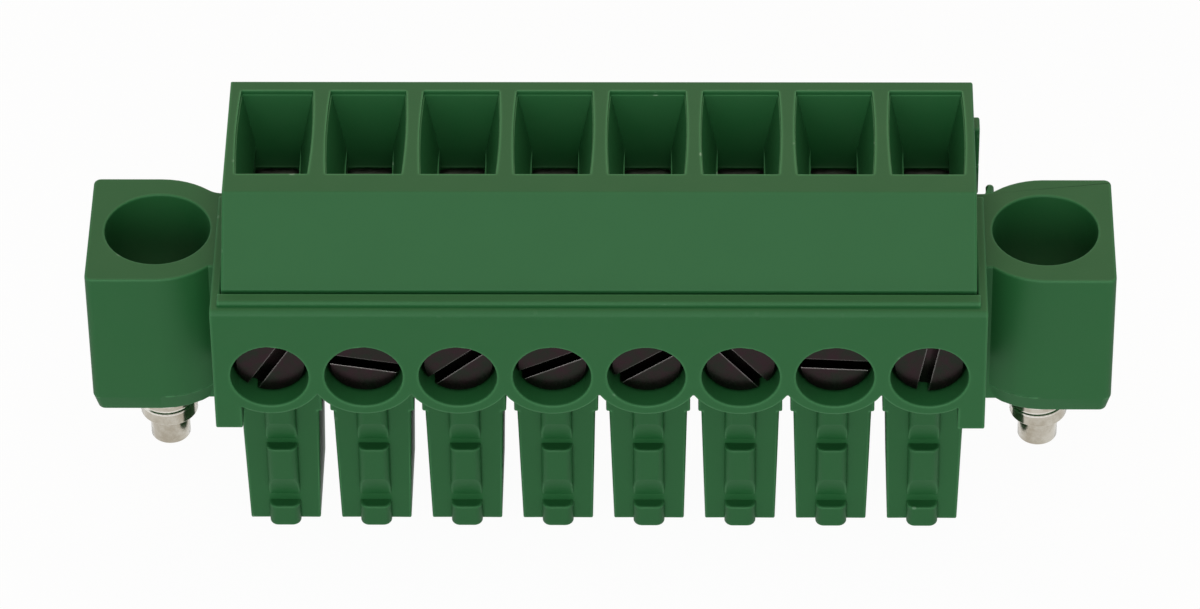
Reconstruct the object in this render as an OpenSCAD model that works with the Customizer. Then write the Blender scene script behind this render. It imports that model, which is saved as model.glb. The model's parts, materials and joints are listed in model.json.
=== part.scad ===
// Pluggable terminal block with screw flanges: a plug whose rising-cage clamps
// are worked from the front, wired from above, and pushed down onto a header.
// X runs along the row, Y from the screw face to the back, Z up from the finger ends.
// All lengths are in millimetres. "Depth" is measured back from the screw face.

/* [Row of poles] */
// Number of clamping positions in the row
poles = 8; // [2:1:12]
// Distance from one clamping position to the next
pitch = 3.81; // [3.75:0.01:5.08]

/* [Contact housing] */
// Depth of the housing from the screw face to the back
housing_depth = 11.1; // [10.9:0.1:13]
// Height of the mating face above the finger ends
seat_z = 6.9; // [6.5:0.1:7.6]
// Height of the plane where the wire entry cover sits on the housing
split_z = 14.5; // [14.45:0.05:15]
// Height of the brow, the raised top edge of the screw face
brow_z = 15.3; // [15.2:0.05:15.6]
// Depth of the front wall behind the brow
brow_depth = 0.98; // [0.9:0.02:1]
// Radius along the front top edge of the brow
brow_r = 0.25; // [0.1:0.05:0.5]
// Height of the lip that runs along the top of the brow
lip_z = 15.5; // [15.45:0.05:15.8]
// Depth at which the lip starts
lip_depth = 0.4; // [0.3:0.02:0.5]
// Radius along the front edge of the lip
lip_r = 0.14; // [0.05:0.01:0.14]
// How far the lip runs out past each end of the row
lip_out = 0.1; // [0.05:0.01:0.2]
// How far each cheek stands proud of the row's end
cheek_proud = 0.38; // [0.2:0.02:0.8]
// Width of the foot of each cheek, seen on the screw face
cheek_w = 1.1; // [0.9:0.1:1.2]
// Height of the lower edge of the cheeks on the screw face
cheek_z = 9.07; // [8.2:0.1:9.5]
// Depth at which the raised rim of each cheek ends
cheek_depth = 7.25; // [6:0.25:8]

/* [Screw bosses] */
// Height of the clamp screw axes above the finger ends
screw_z = 11.86; // [11.8:0.02:12]
// Radius of the rounded lower lobe round each screw
boss_r = 2.28; // [2.2:0.02:2.4]
// Height of the lobe's centre above the screw axis
boss_rise = 0.27; // [0:0.05:0.4]

/* [Fingers] */
// Depth of the fingers' front face
finger_set = 4.36; // [4.3:0.02:4.6]
// Size of a finger from front to back
finger_depth = 4.3; // [4:0.1:4.8]
// Width of a finger at its end
finger_tip_w = 2.92; // [2.7:0.02:3]
// Width of a finger just under its collar
finger_root_w = 3.24; // [3:0.02:3.4]
// Height of the underside of the collar
collar_z = 6.05; // [5.9:0.05:6.3]
// Width of the collar at the root of a finger
collar_w = 3.48; // [3.4:0.02:3.6]
// Radius down the upright edges of a finger
finger_edge_r = 0.15; // [0.05:0.05:0.3]
// Width of the coding rib
rib_w = 1.3; // [1:0.05:1.6]
// How far the coding rib stands proud of the finger
rib_proud = 0.48; // [0.3:0.02:0.6]
// Plan radius of the coding rib's front edges
rib_r = 0.36; // [0.1:0.02:0.45]
// Height over which each rib segment tapers away at its lower end
rib_taper = 1.26; // [0.6:0.02:1.4]
// Height of the front lower edge of the upper rib segment
rib_upper_z = 5.76; // [5.7:0.02:5.9]
// Height of the front lower edge of the middle rib segment
rib_middle_z = 2.64; // [2.5:0.02:2.8]
// Height of the top of the middle rib segment
rib_middle_top_z = 4.28; // [4.1:0.02:4.4]
// Height of the top of the tab at the finger end
rib_tab_z = 1.06; // [0.8:0.02:1.2]

/* [Flanges] */
// Distance of the flange bores from the end of the row
ear_offset = 2.91; // [2.8:0.01:3.4]
// Depth of the flange bore's axis
ear_depth = 6.55; // [6.3:0.05:6.8]
// Radius of the flange round its bore
ear_r = 3.18; // [3:0.02:3.4]
// Distance from the bore's axis to the flange's outer end
ear_end = 2.8; // [2.6:0.05:3.2]
// Height of the flange
ear_h = 7.2; // [7:0.1:7.4]
// Radius of the flange's outer upright edges
ear_edge_r = 0.3; // [0.1:0.05:0.6]
// Half the thickness of the neck that carries the flange
neck_half = 2.3; // [1.8:0.05:2.6]
// Radius that blends the neck into the flange at the back
neck_r = 0.9; // [0.4:0.1:1]
// Height of the tapered strip at the foot of the flange
ear_foot_h = 0.8; // [0.4:0.1:1]
// How far the foot of the flange tapers in
ear_foot_in = 0.18; // [0.05:0.01:0.3]
// Radius of the screwdriver bore in the flange
ear_bore_r = 2.16; // [2.1:0.02:2.4]
// Thickness of the floor under the flange screw's head
ear_floor = 0.8; // [0.7:0.05:1.2]

/* [Wire entry cover] */
// Height of the top of the cover above the finger ends
top_z = 18.2; // [18:0.1:19]
// Depth of the top face's front edge
slope_top_depth = 4.12; // [3.8:0.02:4.4]
// Height of the foot of the slope
slope_foot_z = 15.52; // [15.4:0.02:15.8]
// Width of the seam between the foot of the slope and the brow
seam_w = 0.16; // [0.1:0.02:0.3]
// Gap between each end of the cover and the cheek beside it
cover_gap = 0.04; // [0.02:0.01:0.08]
// Depth of the front edge of the wire funnels
mouth_front = 5.22; // [4.9:0.02:5.6]
// Wall behind the wire funnels
mouth_back_wall = 0.62; // [0.5:0.02:0.8]
// Width of a wire funnel's front and back edges
mouth_w = 3.1; // [2.9:0.02:3.2]
// How far each side wall of a funnel bows outwards
mouth_bow = 0.09; // [0.02:0.01:0.12]
// Extra wall on the outer side of the two end funnels
end_wall_extra = 0.15; // [0:0.05:0.3]
// Width of the throat under a funnel
throat_w = 1.9; // [1.7:0.05:2]
// Depth of the throat's front edge
throat_front = 7.2; // [7.1:0.05:7.6]
// Clear size of the throat from front to back
throat_gap = 2.8; // [2.4:0.05:2.85]
// Height at which the funnel turns into the throat
throat_z = 15.45; // [15.2:0.05:15.8]

/* [Right-hand end] */
// How far the locating rib stands proud of the row's end
key_proud = 0.28; // [0.1:0.02:0.36]
// Size of that rib from front to back
key_w = 0.8; // [0.5:0.1:1]
// Height of the foot of that rib
key_foot_z = 13; // [12:0.1:13.5]
// Height of the top of that rib
key_top_z = 16.5; // [16:0.1:17]
// Radius of the gate stub on the back of the right-hand neck
gate_r = 0.17; // [0.1:0.01:0.2]
// Length of the gate stub
gate_len = 0.6; // [0.3:0.05:0.8]

/* [Clamp screws] */
// Radius of the clamp screw's head
head_r = 1.52; // [1.45:0.01:1.55]
// Depth of the screw head's top below the screw face
head_recess = 0.8; // [0.75:0.05:0.95]
// Thickness of the screw head
head_h = 1.2; // [1:0.05:1.2]
// Radius of the clamp screw's shank
shank_r = 0.95; // [0.85:0.05:1]
// Width of the screwdriver slot
slot_w = 0.45; // [0.3:0.05:0.6]
// Depth of the screwdriver slot
slot_depth = 0.6; // [0.4:0.05:0.7]
// Chamfer round the screw head's rim
head_chamfer = 0.12; // [0.05:0.01:0.2]

/* [Clamp cages] */
// Width of a clamping cage
cage_w = 2.76; // [2.6:0.02:2.8]
// Height of the cage below the screw axis
cage_drop = 1.5; // [1.45:0.05:1.5]
// Height of the cage above the screw axis
cage_rise = 2.54; // [2:0.02:2.58]
// Thickness of the cage's threaded front wall
cage_front_t = 1.5; // [1.3:0.05:1.6]
// Thickness of the cage's back wall
cage_back_t = 0.5; // [0.4:0.05:0.6]
// Thickness of the cage's side walls
cage_side_t = 0.38; // [0.3:0.02:0.45]
// Clear wire space between the contact and the open cage
wire_space = 2.7; // [2.5:0.05:2.75]
// Travel of the cage from open to closed
cage_travel = 2.3; // [1.8:0.1:2.3]
// Radius of the cage's lower edges, which follow the boss
cage_r = 0.8; // [0.6:0.05:0.9]

/* [Contacts] */
// Depth of the contact bar's front face
bar_depth = 6.25; // [6.2:0.01:6.3]
// Thickness of the contact bar
bar_t = 0.6; // [0.5:0.05:0.8]
// Width of the contact bar
bar_w = 1.7; // [1.5:0.05:1.8]
// Height of the top of the contact bar
bar_top_z = 13.9; // [13.5:0.05:14]
// Thickness of the contact's spring leaves
leaf_t = 0.25; // [0.2:0.01:0.3]
// Size of the spring leaves from front to back
leaf_w = 1.5; // [1.2:0.1:1.8]
// Gap between the leaves where they grip the header pin
leaf_pinch = 0.5; // [0.4:0.05:0.7]
// Height of the lower ends of the spring leaves
leaf_end_z = 1; // [0.9:0.05:1.2]
// Height at which the leaves grip the header pin
leaf_pinch_z = 2; // [1.8:0.1:2.4]
// Height of the yoke that joins the leaves
yoke_z = 5.2; // [4.8:0.1:5.4]
// Side of the square pin opening in a finger's end
pin_opening = 1.3; // [1.1:0.05:1.4]
// Thickness of the finger's end round the pin opening
tip_floor = 0.7; // [0.5:0.05:0.8]

/* [Flange screws] */
// Radius of the flange screw's head
ear_head_r = 2.08; // [2:0.01:2.1]
// Height of the flange screw's head
ear_head_h = 2; // [1.6:0.1:2.2]
// Radius of the neck under the head
ear_neck_r = 0.95; // [0.8:0.05:1]
// Radius of the thread below the flange
ear_thread_r = 1.2; // [1.1:0.05:1.25]
// How far the thread reaches below the flange
ear_thread_out = 2.6; // [2:0.1:3]
// Radius of the dog point below the thread
ear_point_r = 0.82; // [0.6:0.02:0.9]
// Length of the dog point
ear_point_len = 1.35; // [1:0.05:1.6]
// Width of the flange screw's slot
ear_slot_w = 0.7; // [0.5:0.05:0.8]
// Depth of the flange screw's slot
ear_slot_depth = 0.9; // [0.6:0.05:1]

/* [Clearances] */
// Radial clearance of a turning screw
run_gap = 0.06; // [0.03:0.01:0.1]
// Clearance between a sliding cage and its well
slide_gap = 0.05; // [0.03:0.01:0.06]
// Clearance between a contact and the well of its springs
spring_gap = 0.15; // [0.1:0.05:0.3]
// Clearance that lets a screw turn on what it bears on
tip_gap = 0.05; // [0.02:0.01:0.1]
// Gap between the open cage's front wall and the contact bar
cage_stop_gap = 0.25; // [0.2:0.05:0.4]

/* [Hidden] */
$fn = 64;
cut = 1;
bond = 0.2;

front_y = -housing_depth / 2;
back_y = housing_depth / 2;
brow_back_y = front_y + brow_depth;
row_w = poles * pitch;
body_w = row_w + 2 * cheek_proud;
ear_x = row_w / 2 + ear_offset;
ear_y = front_y + ear_depth;
boss_z = screw_z + boss_rise;
finger_y = front_y + finger_set;
pin_y = finger_y + finger_depth / 2;

pocket_r = head_r + run_gap;
cage_bore_r = shank_r + run_gap;
bar_y = front_y + bar_depth;
cage_window = cage_stop_gap + bar_t + wire_space;
cage_front_y = bar_y - cage_stop_gap - cage_front_t;
cage_back_y = cage_front_y + cage_front_t + cage_window + cage_back_t;
well_y = cage_front_y - cage_travel - slide_gap;
well_back_y = cage_back_y + slide_gap;
well_w = cage_w + 2 * slide_gap;
well_z = screw_z - cage_drop - slide_gap;
spring_well_w = bar_w + 2 * spring_gap;
spring_well_d = leaf_w + 2 * spring_gap;

throat_y = front_y + throat_front;
throat_back_y = throat_y + throat_gap;
mouth_back_y = back_y - mouth_back_wall;
mouth_d = mouth_back_y - front_y - mouth_front;
mouth_h = top_z - throat_z;

ear_head_z = seat_z + ear_floor;
ear_tip_z = seat_z - ear_thread_out - ear_point_len;

// X of clamping position i, counted from 1 at the left
function pole_x(i) = (i - (poles + 1) / 2) * pitch;

// Angle at which screwdriver slot i has come to rest
function slot_angle(i) = [58, -10, 40, 25, 35, -50, -3, 80][(i - 1) % 8];

// Points of an arc from angle a0 to a1
function arc(c, r, a0, a1, n = 6) =
    [for (k = [0:n]) c + r * [cos(a0 + (a1 - a0) * k / n), sin(a0 + (a1 - a0) * k / n)]];

// Extrudes a (Y, Z) profile along X, centred on the row
module along_x(length) {
    translate([-length / 2, 0, 0]) rotate([90, 0, 90]) linear_extrude(length) children();
}

// Extrudes an (X, Z) profile back from y0
module along_y(y0, length) {
    translate([0, y0 + length, 0]) rotate([90, 0, 0]) linear_extrude(length) children();
}

// Rectangle from corner a to corner b with all four corners rounded
module round_rect(a, b, r) {
    translate([a.x + r, a.y]) square([b.x - a.x - 2 * r, b.y - a.y]);
    translate([a.x, a.y + r]) square([b.x - a.x, b.y - a.y - 2 * r]);
    for (x = [a.x + r, b.x - r], y = [a.y + r, b.y - r]) translate([x, y]) circle(r);
}

// Places a child at every clamping position
module each_pole() {
    for (i = [1:poles]) translate([pole_x(i), 0, 0]) children();
}

// Side profile of the housing's block, with the brow along the screw face
module block_profile() {
    polygon(concat(
        [[front_y, boss_z]],
        arc([front_y + brow_r, brow_z - brow_r], brow_r, 180, 90),
        [[brow_back_y, brow_z], [brow_back_y, split_z], [back_y, split_z],
         [back_y, seat_z], [finger_y, seat_z], [finger_y, boss_z]]));
}

// Side profile of the lip on the brow, rounded along its front edge
module lip_profile() {
    lip_y = front_y + lip_depth;
    polygon(concat(
        [[lip_y, brow_z - bond]],
        arc([lip_y + lip_r, lip_z - lip_r], lip_r, 180, 90),
        [[brow_back_y, lip_z], [brow_back_y, brow_z - bond]]));
}

// Side profile of the cheek that closes the row's end, with its raised rim
module cheek_profile(top, depth) {
    polygon(concat(
        [[front_y, cheek_z]],
        arc([front_y + brow_r, top - brow_r], brow_r, 180, 90),
        [[front_y + depth, top], [front_y + depth, seat_z], [finger_y, seat_z], [finger_y, cheek_z]]));
}

module housing_block() {
    along_x(row_w) block_profile();
    along_x(row_w + 2 * lip_out) lip_profile();
    for (side = [-1, 1]) {
        translate([side * (body_w - cheek_proud - bond) / 2, 0, 0])
            along_x(cheek_proud + bond) cheek_profile(brow_z, cheek_depth);
        translate([side * (body_w - cheek_w) / 2, 0, 0]) along_x(cheek_w) cheek_foot_profile();
    }
}

// Foot of the cheek, which shows below the bosses on the screw face
module cheek_foot_profile() {
    polygon([[front_y, cheek_z], [front_y, boss_z], [finger_y + bond, boss_z], [finger_y + bond, cheek_z]]);
}

// Rounded lower lobes of the screw face
module bosses() {
    intersection() {
        each_pole()
            translate([0, front_y, boss_z]) rotate([-90, 0, 0]) cylinder(h = finger_set, r = boss_r);
        translate([-body_w / 2, front_y, 0]) cube([body_w, finger_set, boss_z]);
    }
}

// Coding rib of one finger: two tapering segments and the tab at the end
module coding_rib() {
    face_y = finger_y + bond;
    rib_y = finger_y - rib_proud;
    intersection() {
        linear_extrude(boss_z)
            round_rect([-rib_w / 2, rib_y], [rib_w / 2, face_y + rib_r], rib_r);
        along_x(rib_w) {
            polygon([[face_y, rib_upper_z - rib_taper], [finger_y, rib_upper_z - rib_taper],
                     [rib_y, rib_upper_z], [rib_y, boss_z], [face_y, boss_z]]);
            polygon([[face_y, rib_middle_z - rib_taper], [finger_y, rib_middle_z - rib_taper],
                     [rib_y, rib_middle_z], [rib_y, rib_middle_top_z], [face_y, rib_middle_top_z]]);
            translate([rib_y, 0]) square([face_y - rib_y, rib_tab_z]);
        }
    }
}

// One finger, drafted towards its end, with the collar at its root
module finger() {
    intersection() {
        along_y(finger_y, finger_depth)
            polygon([[-finger_tip_w / 2, 0], [finger_tip_w / 2, 0],
                     [finger_root_w / 2, collar_z + bond], [-finger_root_w / 2, collar_z + bond]]);
        linear_extrude(collar_z + bond)
            round_rect([-finger_root_w / 2, finger_y],
                       [finger_root_w / 2, finger_y + finger_depth], finger_edge_r);
    }
    translate([-collar_w / 2, finger_y, collar_z])
        cube([collar_w, finger_depth, seat_z - collar_z + bond]);
    coding_rib();
}

// Plan of a flange: round towards the row, squared at its outer end
module ear_plan(inset = 0) {
    r = ear_r - inset;
    intersection() {
        circle(r);
        translate([-r, -r]) square([r + bond, 2 * r]);
    }
    round_rect([-ear_edge_r, -r], [ear_end - inset, r], ear_edge_r);
    translate([0, -r]) square([ear_end / 2, 2 * r]);
}

// Plan of the neck, with its blend into the back of the flange
module neck_plan() {
    reach = ear_offset + bond;
    blend = [-sqrt(pow(ear_r + neck_r, 2) - pow(neck_half + neck_r, 2)), neck_half + neck_r];
    translate([-reach, -neck_half]) square([reach, 2 * neck_half]);
    difference() {
        translate([blend.x, 0]) square([-blend.x, blend.y * ear_r / (ear_r + neck_r)]);
        translate(blend) circle(neck_r);
    }
}

// Flange on the right-hand end, standing on the mating face
module ear() {
    translate([ear_x, ear_y, seat_z]) {
        translate([0, 0, ear_foot_h]) linear_extrude(ear_h - ear_foot_h) ear_plan();
        hull() {
            linear_extrude(bond) ear_plan(ear_foot_in, $fn = 32);
            translate([0, 0, ear_foot_h]) linear_extrude(bond) ear_plan($fn = 32);
        }
        linear_extrude(ear_h) neck_plan();
    }
}

// Screw bore of the right-hand flange: wide for the head, close round the screw's neck
module ear_bores() {
    translate([ear_x, ear_y, 0]) {
        translate([0, 0, ear_head_z]) cylinder(h = ear_h + cut, r = ear_bore_r);
        translate([0, 0, seat_z - cut]) cylinder(h = ear_floor + 2 * cut, r = ear_neck_r + run_gap);
    }
}

// Head pocket, cage well, spring well and pin opening of one position
module pole_hollows() {
    translate([0, front_y - cut, screw_z]) rotate([-90, 0, 0])
        cylinder(h = well_y - front_y + cut + bond, r = pocket_r);
    along_y(well_y, well_back_y - well_y)
        round_rect([-well_w / 2, well_z], [well_w / 2, split_z + cut + cage_r], cage_r + slide_gap);
    translate([-spring_well_w / 2, pin_y - spring_well_d / 2, tip_floor])
        cube([spring_well_w, spring_well_d, well_z + bond - tip_floor]);
    translate([-pin_opening / 2, pin_y - pin_opening / 2, -cut])
        cube([pin_opening, pin_opening, cut + tip_floor + bond]);
}

// Rib on the right-hand end of the row, shared by housing and cover
module end_rib(z0, z1) {
    translate([row_w / 2 - bond, back_y - key_w - bond, z0]) cube([key_proud + bond, key_w, z1 - z0]);
}

// Stub that the moulding gate left on the back of the right-hand neck
module gate_stub() {
    stub_x = body_w / 2 + 2 * gate_r;
    translate([stub_x, ear_y + neck_half - bond, seat_z + ear_h - gate_r]) rotate([-90, 0, 0])
        cylinder(h = gate_len + bond, r = gate_r);
}

// Seat of the wire entry cover, between the cheeks and behind the brow
module cover_seat() {
    translate([-row_w / 2, brow_back_y, split_z]) cube([row_w, housing_depth, top_z - split_z]);
}

module contact_housing() {
    color("seagreen")
    difference() {
        union() {
            housing_block();
            bosses();
            each_pole() finger();
            ear();
            mirror([1, 0, 0]) ear();
            end_rib(key_foot_z, split_z);
            gate_stub();
        }
        cover_seat();
        each_pole() pole_hollows();
        ear_bores();
        mirror([1, 0, 0]) ear_bores();
    }
}

// Side profile of the cover: slope above the screw face, flat top, seat on the housing
module cover_profile() {
    foot_y = brow_back_y + seam_w;
    polygon([[foot_y, split_z], [foot_y, slope_foot_z], [front_y + slope_top_depth, top_z],
             [back_y, top_z], [back_y, split_z]]);
}

// Outline of a funnel's mouth, its sides bowed; the end funnels keep more wall
module mouth_outline(left_extra, right_extra) {
    steps = 6;
    half = mouth_w / 2;
    bow = [for (k = [0:steps]) mouth_bow * (1 - pow(2 * k / steps - 1, 2))];
    polygon(concat(
        [for (k = [0:steps]) [half - right_extra + bow[k], (k / steps - 1) * mouth_d]],
        [for (k = [0:steps]) [left_extra - half - bow[k], -k / steps * mouth_d]]));
}

// Funnel that narrows from the mouth to the throat, and the throat itself
module wire_funnel(left_extra, right_extra) {
    shrink = [throat_w / mouth_w, throat_gap / mouth_d];
    // the plan point that stays in place while the funnel narrows
    fixed_y = (throat_back_y - shrink.y * mouth_back_y) / (1 - shrink.y);
    translate([0, fixed_y, top_z]) mirror([0, 0, 1])
        linear_extrude(height = mouth_h, scale = shrink, slices = 1)
            translate([0, mouth_back_y - fixed_y]) mouth_outline(left_extra, right_extra);
    translate([0, mouth_back_y, top_z - bond])
        linear_extrude(bond + cut) mouth_outline(left_extra, right_extra);
    translate([-throat_w / 2, throat_y, split_z - cut])
        cube([throat_w, throat_gap, throat_z - split_z + cut + bond / 2]);
}

module wire_entry_cover() {
    color("seagreen")
    difference() {
        union() {
            along_x(row_w - 2 * cover_gap) cover_profile();
            end_rib(split_z, key_top_z);
        }
        for (i = [1:poles]) translate([pole_x(i), 0, 0])
            wire_funnel(i == 1 ? end_wall_extra : 0, i == poles ? end_wall_extra : 0);
    }
}

// Screw with a slotted head at its top end, pointing down from z = 0
module slotted_screw(head_radius, head_height, shank_radius, length, slot_width, slot_d, chamfer) {
    difference() {
        rotate_extrude()
            polygon([[0, 0], [head_radius - chamfer, 0], [head_radius, -chamfer],
                     [head_radius, -head_height], [shank_radius, -head_height],
                     [shank_radius, chamfer - length], [shank_radius - chamfer, -length],
                     [0, -length]]);
        translate([-head_radius - cut, -slot_width / 2, -slot_d])
            cube([2 * (head_radius + cut), slot_width, slot_d + cut]);
    }
}

module clamp_screw(i) {
    top_y = front_y + head_recess;
    color("dimgray")
    translate([pole_x(i), top_y, screw_z]) rotate([90, 0, 0]) rotate([0, 0, slot_angle(i)])
        slotted_screw(head_r, head_h, shank_r, bar_y - tip_gap - top_y, slot_w, slot_depth,
                      head_chamfer);
}

// Rising cage: threaded front wall, side walls and back wall round the wire space
module clamp_cage(i) {
    inner_w = cage_w - 2 * cage_side_t;
    color("darkgoldenrod")
    translate([pole_x(i), 0, 0]) difference() {
        along_y(cage_front_y, cage_back_y - cage_front_y)
            round_rect([-cage_w / 2, screw_z - cage_drop], [cage_w / 2, screw_z + cage_rise], cage_r);
        translate([-inner_w / 2, cage_front_y + cage_front_t, well_z - cut])
            cube([inner_w, cage_window, split_z - well_z + 2 * cut]);
        translate([0, cage_front_y - cut, screw_z]) rotate([-90, 0, 0])
            cylinder(h = cage_front_t + 2 * cut, r = cage_bore_r);
    }
}

// Profile of one spring leaf: down from the yoke, in to the pin, out at its end
module leaf_profile() {
    root = bar_w / 2;
    pinch = leaf_pinch / 2;
    flare = root - leaf_t;
    polygon([[root, yoke_z], [root, yoke_z - leaf_t], [pinch + leaf_t, leaf_pinch_z],
             [root, leaf_end_z], [flare, leaf_end_z], [pinch, leaf_pinch_z],
             [flare, yoke_z - leaf_t], [flare, yoke_z]]);
}

// Contact: the bar that the wire is pressed on, the yoke and two spring leaves
module contact(i) {
    yoke_y = pin_y - leaf_w / 2;
    color("gainsboro")
    translate([pole_x(i), 0, 0]) {
        translate([-bar_w / 2, bar_y, yoke_z]) cube([bar_w, bar_t, bar_top_z - yoke_z]);
        translate([-bar_w / 2, yoke_y, yoke_z]) cube([bar_w, leaf_w, leaf_t]);
        along_y(yoke_y, leaf_w) leaf_profile();
        along_y(yoke_y, leaf_w) mirror([1, 0]) leaf_profile();
    }
}

// Captive flange screw: slotted head, thin neck in the floor, thread and dog point
module flange_screw(side) {
    color("silver")
    translate([side * ear_x, ear_y, 0]) difference() {
        union() {
            translate([0, 0, ear_head_z + tip_gap]) cylinder(h = ear_head_h, r = ear_head_r);
            translate([0, 0, seat_z - bond]) cylinder(h = ear_floor + 2 * bond, r = ear_neck_r);
            translate([0, 0, seat_z - ear_thread_out])
                cylinder(h = ear_thread_out - tip_gap, r = ear_thread_r);
            translate([0, 0, ear_tip_z]) cylinder(h = ear_point_len + bond, r = ear_point_r);
        }
        translate([-ear_head_r - cut, -ear_slot_w / 2,
                   ear_head_z + tip_gap + ear_head_h - ear_slot_depth])
            cube([2 * (ear_head_r + cut), ear_slot_w, ear_slot_depth + cut]);
    }
}

contact_housing();
wire_entry_cover();
for (i = [1:poles]) {
    clamp_screw(i);
    clamp_cage(i);
    contact(i);
}
flange_screw(-1);  // flange_screw_left
flange_screw(1);  // flange_screw_right
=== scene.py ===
"""Looks of a pluggable terminal block with screw flanges.

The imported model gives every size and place. This script rounds the moulded edges, cuts the
threads that show, gives each piece its finish, and sets up the table, the light and the camera.
"""

from __future__ import annotations

import json
import logging
import math
from dataclasses import dataclass
from enum import Enum
from typing import Any

import bmesh
import bpy
from mathutils import Matrix, Vector


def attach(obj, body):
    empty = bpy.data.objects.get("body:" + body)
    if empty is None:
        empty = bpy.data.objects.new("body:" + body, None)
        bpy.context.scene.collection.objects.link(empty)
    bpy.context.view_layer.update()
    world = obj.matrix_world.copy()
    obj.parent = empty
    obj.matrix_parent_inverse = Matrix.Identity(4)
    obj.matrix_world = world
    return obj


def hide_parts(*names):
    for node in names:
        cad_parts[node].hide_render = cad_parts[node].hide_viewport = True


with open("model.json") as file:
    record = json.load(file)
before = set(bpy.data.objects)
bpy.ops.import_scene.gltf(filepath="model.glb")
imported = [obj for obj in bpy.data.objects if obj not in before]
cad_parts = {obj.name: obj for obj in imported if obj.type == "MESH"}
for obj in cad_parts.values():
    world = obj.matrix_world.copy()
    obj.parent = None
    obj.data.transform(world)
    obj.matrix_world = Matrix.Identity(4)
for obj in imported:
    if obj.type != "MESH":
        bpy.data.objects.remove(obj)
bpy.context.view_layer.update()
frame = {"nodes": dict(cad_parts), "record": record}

LOG = logging.getLogger("terminal_block")
MM = 0.001
# the slope's own reach from front to back, beyond which the wire funnels begin
SLOPE_REACH = 3.6 * MM


class Body(Enum):
    """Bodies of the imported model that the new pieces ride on."""

    HOUSING = "housing"
    FLANGE_LEFT = "flange_screw_left_body"
    FLANGE_RIGHT = "flange_screw_right_body"


class Slot(Enum):
    """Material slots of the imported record."""

    HOUSING = "housing"
    CLAMP_SCREW = "clamp_screw"
    CAGE = "cage"
    CONTACT = "contact"
    FLANGE_SCREW = "flange_screw"


def srgb(hex_colour: str) -> tuple[float, float, float, float]:
    """Turns an sRGB hex colour into linear light.

    Args:
        hex_colour: Six hex digits after a hash sign.

    Returns:
        Linear red, green and blue, and an alpha of 1.
    """
    parts = [int(hex_colour[i : i + 2], 16) / 255 for i in (1, 3, 5)]
    linear = [c / 12.92 if c <= 0.04045 else ((c + 0.055) / 1.055) ** 2.4 for c in parts]
    return (linear[0], linear[1], linear[2], 1.0)


def per_metre(size_mm: float) -> float:
    """Returns the texture scale that makes a pattern feature size_mm wide on Object coordinates."""
    return 1 / (size_mm * MM)


def add_node(tree: bpy.types.NodeTree, kind: str, inputs: dict[Any, Any] | None = None, **settings: Any) -> Any:
    """Adds one node, with its settings, values and links.

    Args:
        tree: Node tree that takes the node.
        kind: Blender's name of the node's type.
        inputs: Socket name or number to a value, or to the output socket that feeds it.
        **settings: Properties of the node itself.

    Returns:
        The new node.
    """
    node = tree.nodes.new(kind)
    for name, value in settings.items():
        setattr(node, name, value)
    for key, value in (inputs or {}).items():
        if isinstance(value, bpy.types.NodeSocket):
            tree.links.new(value, node.inputs[key])
        else:
            node.inputs[key].default_value = value
    return node


def blank_material(name: str) -> tuple[bpy.types.Material, bpy.types.NodeTree]:
    """Makes a material with an empty node tree.

    Args:
        name: Name of the material.

    Returns:
        The material and its node tree.
    """
    material = bpy.data.materials.new(name)
    material.use_nodes = True
    material.node_tree.nodes.clear()
    return material, material.node_tree


def finish_tree(tree: bpy.types.NodeTree, shader: bpy.types.NodeSocket) -> None:
    """Joins a shader to the tree's output."""
    add_node(tree, "ShaderNodeOutputMaterial", {"Surface": shader})


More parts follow.
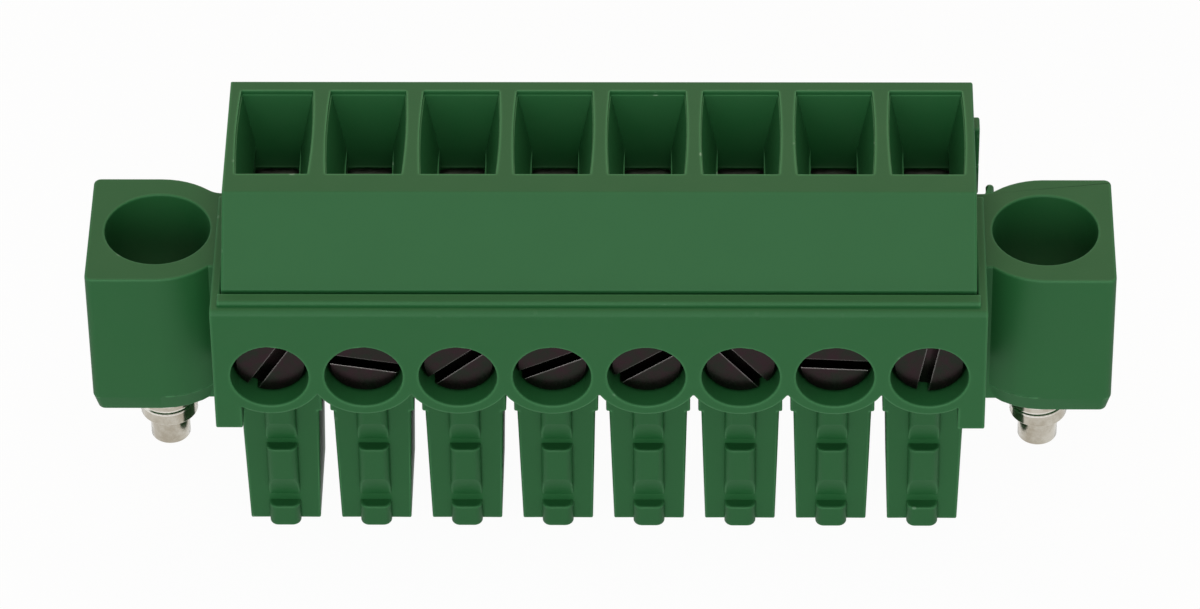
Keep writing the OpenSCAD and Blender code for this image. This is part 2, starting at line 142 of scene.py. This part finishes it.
@dataclass(frozen=True)
class MouldedPolyamide:
    """Glass-free polyamide, injection moulded with a fine matt spark finish."""

    name: str = "polyamide_moulded_matt_green"
    body: str = "#1d5b2e"
    # flow marks leave soft clouds a little greyer and a little fresher than the body
    cloud: str = "#255b32"
    # outer edges painted lighter: a painted highlight
    edge: str = "#4f8f5e"
    nick: str = "#a9c9ae"
    cloud_mm: float = 1.6
    # real spark grain is about 0.03 mm; drawn coarser so that it shows
    grain_mm: float = 0.11
    grain_depth_mm: float = 0.006
    # width of the painted highlight along the outer edges
    edge_mm: float = 0.13
    roughness: float = 0.52

    def build(self) -> bpy.types.Material:
        """Returns the material."""
        material, tree = blank_material(self.name)
        place = add_node(tree, "ShaderNodeTexCoord").outputs["Object"]
        clouds = add_node(
            tree,
            "ShaderNodeTexNoise",
            {"Vector": place, "Scale": per_metre(self.cloud_mm), "Detail": 3.0, "Roughness": 0.6},
        )
        body = add_node(
            tree,
            "ShaderNodeMix",
            {0: clouds.outputs["Fac"], "A": srgb(self.body), "B": srgb(self.cloud)},
            data_type="RGBA",
        )
        # light from inside that meets a wall close by marks an outer edge, which gets the painted highlight
        inside = add_node(
            tree,
            "ShaderNodeAmbientOcclusion",
            {"Distance": self.edge_mm * MM},
            inside=True,
            only_local=True,
            samples=8,
        )
        edge = add_node(
            tree,
            "ShaderNodeMapRange",
            {"Value": inside.outputs["AO"], "From Min": 0.93, "From Max": 0.55, "To Min": 0.0, "To Max": 0.7},
        )
        # painted highlight: the body colour mixed towards the light edge colour along the outer edges
        with_painted_highlight = add_node(
            tree,
            "ShaderNodeMix",
            {0: edge.outputs["Result"], "A": body.outputs["Result"], "B": srgb(self.edge)},
            data_type="RGBA",
        )
        cells = add_node(
            tree, "ShaderNodeTexVoronoi", {"Vector": place, "Scale": per_metre(1.1)}, feature="F1"
        )
        small = add_node(
            tree,
            "ShaderNodeMapRange",
            {"Value": cells.outputs["Distance"], "From Min": 0.12, "From Max": 0.06},
        )
        nick = add_node(tree, "ShaderNodeMath", {0: small.outputs["Result"], 1: edge.outputs["Result"]}, operation="MULTIPLY")
        nicked = add_node(
            tree,
            "ShaderNodeMix",
            {0: nick.outputs["Value"], "A": with_painted_highlight.outputs["Result"], "B": srgb(self.nick)},
            data_type="RGBA",
        )
        grain = add_node(
            tree,
            "ShaderNodeTexNoise",
            {"Vector": place, "Scale": per_metre(self.grain_mm), "Detail": 2.0},
        )
        bump = add_node(
            tree,
            "ShaderNodeBump",
            {"Height": grain.outputs["Fac"], "Distance": self.grain_depth_mm * MM, "Strength": 0.6},
        )
        rough = add_node(
            tree,
            "ShaderNodeMapRange",
            {"Value": clouds.outputs["Fac"], "To Min": self.roughness - 0.06, "To Max": self.roughness + 0.06},
        )
        shader = add_node(
            tree,
            "ShaderNodeBsdfPrincipled",
            {
                "Base Color": nicked.outputs["Result"],
                "Roughness": rough.outputs["Result"],
                "Normal": bump.outputs["Normal"],
                "IOR": 1.53,
                "Specular IOR Level": 0.22,
            },
        )
        finish_tree(tree, shader.outputs["BSDF"])
        return material


@dataclass(frozen=True)
class PlatedMetal:
    """Plated small metal part: a clouded plating over turned or stamped metal."""

    name: str
    plating: str
    tint: str
    # lighter outer edges: rubbed plating, drawn bright enough to be a painted highlight as well
    edge: str
    roughness: float
    # turning and drawing marks, drawn coarser than the real 0.02 mm so that they show
    mark_mm: float = 0.12
    mark_depth_mm: float = 0.002
    cloud_mm: float = 0.9
    edge_mm: float = 0.06

    def build(self) -> bpy.types.Material:
        """Returns the material."""
        material, tree = blank_material(self.name)
        place = add_node(tree, "ShaderNodeTexCoord").outputs["Object"]
        clouds = add_node(
            tree,
            "ShaderNodeTexNoise",
            {"Vector": place, "Scale": per_metre(self.cloud_mm), "Detail": 4.0, "Roughness": 0.65},
        )
        spread = add_node(
            tree,
            "ShaderNodeMapRange",
            {"Value": clouds.outputs["Fac"], "From Min": 0.38, "From Max": 0.62},
        )
        plating = add_node(
            tree,
            "ShaderNodeMix",
            {0: spread.outputs["Result"], "A": srgb(self.plating), "B": srgb(self.tint)},
            data_type="RGBA",
        )
        inside = add_node(
            tree,
            "ShaderNodeAmbientOcclusion",
            {"Distance": self.edge_mm * MM},
            inside=True,
            only_local=True,
            samples=8,
        )
        edge = add_node(
            tree,
            "ShaderNodeMapRange",
            {"Value": inside.outputs["AO"], "From Min": 0.9, "From Max": 0.5},
        )
        # rubbed plating along the outer edges, light enough to be a painted highlight too
        worn_and_highlit = add_node(
            tree,
            "ShaderNodeMix",
            {0: edge.outputs["Result"], "A": plating.outputs["Result"], "B": srgb(self.edge)},
            data_type="RGBA",
        )
        marks = add_node(
            tree,
            "ShaderNodeTexNoise",
            {"Vector": place, "Scale": per_metre(self.mark_mm), "Detail": 3.0},
        )
        bump = add_node(
            tree,
            "ShaderNodeBump",
            {"Height": marks.outputs["Fac"], "Distance": self.mark_depth_mm * MM, "Strength": 0.8},
        )
        rough = add_node(
            tree,
            "ShaderNodeMapRange",
            {"Value": marks.outputs["Fac"], "To Min": self.roughness - 0.07, "To Max": self.roughness + 0.07},
        )
        shader = add_node(
            tree,
            "ShaderNodeBsdfPrincipled",
            {
                "Base Color": worn_and_highlit.outputs["Result"],
                "Metallic": 1.0,
                "Roughness": rough.outputs["Result"],
                "Normal": bump.outputs["Normal"],
            },
        )
        finish_tree(tree, shader.outputs["BSDF"])
        return material


CLAMP_SCREW_STEEL = PlatedMetal(
    name="steel_black_passivated_zinc", plating="#33272a", tint="#292d27", edge="#c9c4c2", roughness=0.25
)
CAGE_BRASS = PlatedMetal(
    name="brass_nickel_plated_stamped", plating="#8f8884", tint="#76686a", edge="#cfc9c4", roughness=0.32
)
CONTACT_BRONZE = PlatedMetal(
    name="bronze_tin_plated_stamped", plating="#a9a8a3", tint="#94918a", edge="#d8d6d0", roughness=0.38
)
FLANGE_STEEL = PlatedMetal(
    name="steel_nickel_plated_turned", plating="#c3beb2", tint="#a79f8f", edge="#ece9e2", roughness=0.16
)


def put_on(piece: bpy.types.Object, material: bpy.types.Material) -> None:
    """Gives a piece or a node one material."""
    piece.data.materials.clear()
    piece.data.materials.append(material)


def mesh_piece(name: str, bm: bmesh.types.BMesh, smooth_deg: float) -> bpy.types.Object:
    """Makes a piece from a bmesh, with smooth faces between its sharp edges.

    Args:
        name: Name of the piece.
        bm: Its mesh in the row frame, freed here.
        smooth_deg: Edges that turn more than this stay sharp.

    Returns:
        The piece, at the origin.
    """
    bm.normal_update()
    for face in bm.faces:
        face.smooth = True
    for edge in bm.edges:
        edge.smooth = edge.is_manifold and edge.calc_face_angle(0) < math.radians(smooth_deg)
    mesh = bpy.data.meshes.new(name)
    bm.to_mesh(mesh)
    bm.free()
    piece = bpy.data.objects.new(name, mesh)
    bpy.context.scene.collection.objects.link(piece)
    weighted = piece.modifiers.new("even_shading", "WEIGHTED_NORMAL")
    weighted.keep_sharp = True
    return piece


def node_copy(node: str) -> bmesh.types.BMesh:
    """Copies a node's mesh, merged and with its flat faces whole again."""
    bm = bmesh.new()
    bm.from_mesh(frame["nodes"][node].data)
    bmesh.ops.remove_doubles(bm, verts=bm.verts, dist=0.0005 * MM)
    bmesh.ops.dissolve_limit(
        bm, angle_limit=math.radians(0.05), use_dissolve_boundaries=False, verts=bm.verts, edges=bm.edges
    )
    return bm


def round_edges(
    bm: bmesh.types.BMesh, radius: float, inner: float = 0.0, sharp_deg: float = 32.0
) -> None:
    """Rounds the outer sharp edges of a mesh.

    Args:
        bm: The mesh.
        radius: Width of the rounding, in metres.
        inner: Depth from the mesh's outer faces beyond which its edges stay sharp, or 0 for none.
        sharp_deg: Edges that turn more than this are rounded.
    """
    ends = [max(abs(vert.co[axis]) for vert in bm.verts) - inner for axis in (0, 1)]
    front = min(vert.co.y for vert in bm.verts) + SLOPE_REACH
    sharp = [
        edge
        for edge in bm.edges
        if edge.is_manifold
        and edge.is_convex
        and edge.calc_face_angle(0) > math.radians(sharp_deg)
        and not (
            inner
            and all(abs(v.co.x) < ends[0] and front < v.co.y < ends[1] for v in edge.verts)
        )
    ]
    bmesh.ops.bevel(
        bm,
        geom=sharp,
        offset=radius,
        offset_type="OFFSET",
        segments=2,
        profile=0.5,
        affect="EDGES",
        clamp_overlap=False,
        loop_slide=True,
        material=-1,
    )


@dataclass
class Moulding:
    """One green moulding, with the small radii that the tool leaves along its edges."""

    node: str
    radius: float
    inner: float = 0.0

    def build(self, finish: bpy.types.Material) -> bpy.types.Object:
        """Builds the moulding from its node.

        Args:
            finish: The moulded plastic.

        Returns:
            The piece, riding on the housing.
        """
        bm = node_copy(self.node)
        round_edges(bm, self.radius, self.inner)
        piece = mesh_piece(f"{self.node}_moulded", bm, 16)
        put_on(piece, finish)
        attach(piece, Body.HOUSING.value)
        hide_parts(self.node)
        return piece


@dataclass
class ClampPosition:
    """Clamp screw, cage and contact of one position."""

    number: int
    head_radius: float = 0.035 * MM
    sheet_radius: float = 0.05 * MM

    def build(self, finishes: dict[Slot, bpy.types.Material]) -> list[bpy.types.Object]:
        """Builds the three metal pieces.

        Args:
            finishes: Finish of each slot.

        Returns:
            The pieces, each riding on its body.
        """
        return [
            self.metal(f"clamp_screw_{self.number}", f"screw_{self.number}", Slot.CLAMP_SCREW, self.head_radius, finishes),
            self.metal(f"clamp_cage_{self.number}", f"cage_{self.number}", Slot.CAGE, self.sheet_radius, finishes),
            self.metal(f"contact_{self.number}", Body.HOUSING.value, Slot.CONTACT, self.sheet_radius, finishes),
        ]

    def metal(
        self, node: str, body: str, slot: Slot, radius: float, finishes: dict[Slot, bpy.types.Material]
    ) -> bpy.types.Object:
        """Builds one metal piece from its node, edges rounded, and puts it on its body."""
        bm = node_copy(node)
        round_edges(bm, radius)
        piece = mesh_piece(f"{node}_finished", bm, 34)
        put_on(piece, finishes[slot])
        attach(piece, body)
        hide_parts(node)
        return piece


@dataclass
class FlangeScrew:
    """Captive flange screw with its cut thread."""

    side: str
    body: Body
    thread_pitch: float = 0.45 * MM
    thread_depth: float = 0.26 * MM
    steps_a_turn: int = 40

    def build(self, finish: bpy.types.Material) -> bpy.types.Object:
        """Builds the screw: the turned blank from its node, and the thread cut round it.

        Args:
            finish: The plated steel.

        Returns:
            The piece, riding on its body.
        """
        node = f"flange_screw_{self.side}"
        mount = next(m for m in frame["record"]["mounts"] if m["name"] == f"flange_thread_{self.side}")
        centre = Vector(mount["pos_m"])
        outer = mount["dims"]["r_mm"] * MM
        half = mount["dims"]["length_mm"] * MM / 2
        bm = node_copy(node)
        self.cut_down(bm, centre, outer, half)
        round_edges(bm, 0.04 * MM)
        self.wind_thread(bm, centre, outer, half)
        piece = mesh_piece(f"{node}_threaded", bm, 34)
        put_on(piece, finish)
        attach(piece, self.body.value)
        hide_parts(node)
        return piece

    def cut_down(self, bm: bmesh.types.BMesh, centre: Vector, outer: float, half: float) -> None:
        """Turns the thread's cylinder down to its root.

        Args:
            bm: The screw's mesh.
            centre: Middle of the thread.
            outer: Outer radius of the thread.
            half: Half the thread's length.
        """
        root = outer - self.thread_depth
        for vert in bm.verts:
            flat = Vector((vert.co.x - centre.x, vert.co.y - centre.y, 0))
            if abs(vert.co.z - centre.z) < half + 0.02 * MM and abs(flat.length - outer) < 0.02 * MM:
                flat.length = root
                vert.co.x, vert.co.y = centre.x + flat.x, centre.y + flat.y

    def wind_thread(self, bm: bmesh.types.BMesh, centre: Vector, outer: float, half: float) -> None:
        """Winds the thread's ridge round the root, from just below the flange to the end.

        Args:
            bm: The screw's mesh.
            centre: Middle of the thread.
            outer: Outer radius of the thread.
            half: Half the thread's length.
        """
        ridge = bmesh.new()
        root = outer - self.thread_depth - 0.03 * MM
        foot, crest = self.thread_pitch * 0.44, self.thread_pitch * 0.07
        low = centre.z - half + foot + 0.02 * MM
        turns = (2 * half - 2 * foot - 0.04 * MM) / self.thread_pitch
        steps = round(turns * self.steps_a_turn)
        loop = [
            ridge.verts.new((centre.x + r, centre.y, low + dz))
            for r, dz in ((root, -foot), (outer, -crest), (outer, crest), (root, foot))
        ]
        edges = [ridge.edges.new((loop[i], loop[(i + 1) % 4])) for i in range(4)]
        bmesh.ops.spin(
            ridge,
            geom=loop + edges,
            cent=centre,
            axis=(0, 0, 1),
            dvec=(0, 0, turns * self.thread_pitch / steps),
            angle=math.tau * turns,
            steps=steps,
            use_merge=False,
            use_duplicate=False,
        )
        bmesh.ops.holes_fill(ridge, edges=[e for e in ridge.edges if e.is_boundary], sides=4)
        bmesh.ops.recalc_face_normals(ridge, faces=ridge.faces)
        shape = bpy.data.meshes.new("thread_ridge")
        ridge.to_mesh(shape)
        ridge.free()
        bm.from_mesh(shape)
        bpy.data.meshes.remove(shape)


@dataclass
class Studio:
    """Pale table, soft lamps and camera."""

    azimuth_deg: float = 1.349
    elevation_deg: float = 41.404
    roll_deg: float = -0.814
    distance: float = 286.35 * MM
    lens_mm: float = 209.7
    sensor_mm: float = 36.0
    aim: tuple[float, float, float] = (-0.042 * MM, -0.55 * MM, 11.382 * MM)
    table_size: float = 1.6
    sky: float = 0.25
    lamps: tuple[tuple[str, float, float, float, float, str], ...] = (
        # name, azimuth, elevation, size, watts, colour
        ("front_softbox", -6.0, 14.0, 0.4, 1.9, "#f9fffb"),
        ("top_softbox", 4.0, 66.0, 0.4, 1.25, "#fffdf6"),
        ("back_softbox", 176.0, 50.0, 0.4, 0.75, "#ffdcae"),
    )
    lamp_distance: float = 0.62

    def build(self) -> None:
        """Sets up the table, the surround, the lamps and the camera."""
        self.table()
        self.surround()
        for name, azimuth, elevation, size, watts, colour in self.lamps:
            self.lamp(name, azimuth, elevation, size, watts, colour)
        self.camera()

    def away(self, azimuth_deg: float, elevation_deg: float) -> Vector:
        """Returns the unit vector towards a point at that azimuth and elevation, 0 being in front."""
        azimuth, elevation = math.radians(azimuth_deg), math.radians(elevation_deg)
        return Vector(
            (
                math.sin(azimuth) * math.cos(elevation),
                -math.cos(azimuth) * math.cos(elevation),
                math.sin(elevation),
            )
        )

    def table(self) -> None:
        """Makes the pale table that the part stands on."""
        bm = bmesh.new()
        bmesh.ops.create_grid(bm, x_segments=1, y_segments=1, size=self.table_size / 2)
        mesh = bpy.data.meshes.new("table")
        bm.to_mesh(mesh)
        bm.free()
        table = bpy.data.objects.new("table", mesh)
        bpy.context.scene.collection.objects.link(table)
        material, tree = blank_material("paper_white_matt")
        path = add_node(tree, "ShaderNodeLightPath")
        paper = add_node(tree, "ShaderNodeBsdfDiffuse", {"Color": srgb("#f2f2f2")})
        glow = add_node(tree, "ShaderNodeEmission", {"Color": srgb("#ffffff"), "Strength": 1.0})
        seen = add_node(
            tree, "ShaderNodeMath", {0: path.outputs["Is Camera Ray"], 1: path.outputs["Is Glossy Ray"]}, operation="MAXIMUM"
        )
        seen = add_node(
            tree, "ShaderNodeMath", {0: seen.outputs["Value"], 1: path.outputs["Is Transmission Ray"]}, operation="MAXIMUM"
        )
        share = add_node(tree, "ShaderNodeMath", {0: seen.outputs["Value"], 1: 0.96}, operation="MULTIPLY")
        mixed = add_node(
            tree, "ShaderNodeMixShader", {0: share.outputs["Value"], 1: paper.outputs["BSDF"], 2: glow.outputs["Emission"]}
        )
        finish_tree(tree, mixed.outputs["Shader"])
        put_on(table, material)

    def surround(self) -> None:
        """Lights the scene evenly, and shows white where it is seen."""
        world = bpy.data.worlds.new("surround")
        world.use_nodes = True
        tree = world.node_tree
        tree.nodes.clear()
        path = add_node(tree, "ShaderNodeLightPath")
        soft = add_node(tree, "ShaderNodeBackground", {"Color": srgb("#ffffff"), "Strength": self.sky})
        white = add_node(tree, "ShaderNodeBackground", {"Color": srgb("#ffffff"), "Strength": 1.0})
        seen = add_node(
            tree, "ShaderNodeMath", {0: path.outputs["Is Camera Ray"], 1: path.outputs["Is Glossy Ray"]}, operation="MAXIMUM"
        )
        seen = add_node(
            tree, "ShaderNodeMath", {0: seen.outputs["Value"], 1: path.outputs["Is Transmission Ray"]}, operation="MAXIMUM"
        )
        mixed = add_node(
            tree,
            "ShaderNodeMixShader",
            {0: seen.outputs["Value"], 1: soft.outputs["Background"], 2: white.outputs["Background"]},
        )
        add_node(tree, "ShaderNodeOutputWorld", {"Surface": mixed.outputs["Shader"]})
        bpy.context.scene.world = world

    def lamp(self, name: str, azimuth: float, elevation: float, size: float, watts: float, colour: str) -> None:
        """Hangs one square softbox that faces the part.

        Args:
            name: Name of the lamp.
            azimuth: Degrees round the part, 0 in front.
            elevation: Degrees above the table.
            size: Side of the softbox, in metres.
            watts: Its power.
            colour: Its colour.
        """
        data = bpy.data.lights.new(name, "AREA")
        data.shape = "SQUARE"
        data.size = size
        data.energy = watts
        data.color = srgb(colour)[:3]
        lamp = bpy.data.objects.new(name, data)
        bpy.context.scene.collection.objects.link(lamp)
        towards = self.away(azimuth, elevation)
        lamp.location = Vector(self.aim) + towards * self.lamp_distance
        lamp.rotation_euler = towards.to_track_quat("Z", "Y").to_euler()

    def camera(self) -> None:
        """Places the camera that looks down on the screw face."""
        data = bpy.data.cameras.new("camera")
        data.sensor_fit = "HORIZONTAL"
        data.sensor_width = self.sensor_mm
        data.lens = self.lens_mm
        data.clip_start = 0.01
        camera = bpy.data.objects.new("camera", data)
        bpy.context.scene.collection.objects.link(camera)
        back = self.away(self.azimuth_deg, self.elevation_deg)
        azimuth, roll = math.radians(self.azimuth_deg), math.radians(self.roll_deg)
        level = Vector((math.cos(azimuth), math.sin(azimuth), 0))
        upright = back.cross(level)
        right = math.cos(roll) * level + math.sin(roll) * upright
        up = math.cos(roll) * upright - math.sin(roll) * level
        camera.matrix_world = Matrix.Translation(Vector(self.aim) + back * self.distance) @ Matrix(
            (right, up, back)
        ).transposed().to_4x4()
        bpy.context.scene.camera = camera


def report(piece: bpy.types.Object) -> None:
    """Logs a finished piece and its size."""
    size = piece.dimensions / MM
    LOG.info("%s: %d faces, %.1f x %.1f x %.1f mm", piece.name, len(piece.data.polygons), *size)


def main() -> None:
    """Builds every piece and the studio."""
    logging.basicConfig(level=logging.INFO, format="%(message)s")
    bpy.context.scene.view_settings.view_transform = "Standard"
    finishes = {
        Slot.HOUSING: MouldedPolyamide().build(),
        Slot.CLAMP_SCREW: CLAMP_SCREW_STEEL.build(),
        Slot.CAGE: CAGE_BRASS.build(),
        Slot.CONTACT: CONTACT_BRONZE.build(),
        Slot.FLANGE_SCREW: FLANGE_STEEL.build(),
    }
    pieces = [
        Moulding("contact_housing", 0.06 * MM).build(finishes[Slot.HOUSING]),
        Moulding("wire_entry_cover", 0.08 * MM, 0.3 * MM).build(finishes[Slot.HOUSING]),
        FlangeScrew("left", Body.FLANGE_LEFT).build(finishes[Slot.FLANGE_SCREW]),
        FlangeScrew("right", Body.FLANGE_RIGHT).build(finishes[Slot.FLANGE_SCREW]),
    ]
    positions = sum(1 for name in frame["nodes"] if name.startswith("clamp_screw_"))
    for number in range(1, positions + 1):
        pieces += ClampPosition(number).build(finishes)
    for piece in pieces:
        report(piece)
    Studio().build()


if __name__ == "__main__":
    main()
